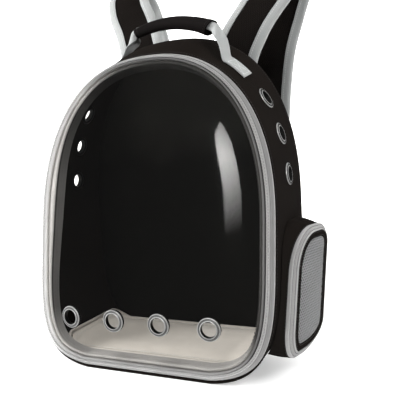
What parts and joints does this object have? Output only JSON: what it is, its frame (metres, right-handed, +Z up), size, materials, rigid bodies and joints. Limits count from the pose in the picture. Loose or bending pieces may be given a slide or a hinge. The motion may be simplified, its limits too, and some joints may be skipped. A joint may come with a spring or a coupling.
{
  "type": "pet carrier backpack",
  "caption": "Arched hard-frame carrier backpack with a clear domed window, ringed air vents, zipped mesh side pockets, a padded floor, a top handle and padded shoulder straps.",
  "frame": {"origin": "middle of the flat base that the carrier stands on", "axes": "+Z up, -Y towards the window, +Y towards the wearer's back, +X to the wearer's right"},
  "size_m": [0.393, 0.2902, 0.525],
  "materials": {
    "black_fabric": "matte woven polyester over a stiff board",
    "black_padding": "matte padded polyester and spacer mesh",
    "grey_zip": "ribbed grey zip tape and coil",
    "grey_trim": "grey ribbed trim tape",
    "pale_tape": "pale grey woven webbing",
    "grey_mesh": "grey open mesh",
    "pad_fabric": "soft pale short-pile cushion fabric",
    "steel": "nickel-plated pressed eyelets",
    "black_plastic": "black moulded plastic",
    "clear_window": "clear glossy moulded sheet"
  },
  "bodies": {
    "root": {"side_gusset": "black_fabric", "back_panel": "black_padding", "window": "clear_window", "window_trim": "grey_trim", "front_zip": "grey_zip", "floor_pad": "pad_fabric", "side_grommet_right_1": "steel", "side_grommet_right_2": "steel", "side_grommet_right_3": "steel", "side_grommet_left_1": "steel", "side_grommet_left_2": "steel", "side_grommet_left_3": "steel", "window_grommet_1": "steel", "window_grommet_2": "steel", "window_grommet_3": "steel", "window_grommet_4": "steel", "handle_grip": "black_fabric", "handle_webbing_left": "pale_tape", "handle_webbing_right": "pale_tape", "shoulder_strap_left": "black_padding", "shoulder_strap_right": "black_padding", "strap_binding_left_inner": "pale_tape", "strap_binding_left_outer": "pale_tape", "strap_binding_right_inner": "pale_tape", "strap_binding_right_outer": "pale_tape", "strap_adjuster_left": "black_plastic", "strap_adjuster_right": "black_plastic", "strap_webbing_left": "black_fabric", "strap_webbing_right": "black_fabric", "pocket_wall_left": "black_fabric", "pocket_wall_right": "black_fabric", "pocket_zip_left": "grey_zip", "pocket_zip_right": "grey_zip", "pocket_border_left": "black_fabric", "pocket_border_right": "black_fabric", "pocket_mesh_left": "grey_mesh", "pocket_mesh_right": "grey_mesh"}
  },
  "joints": []
}
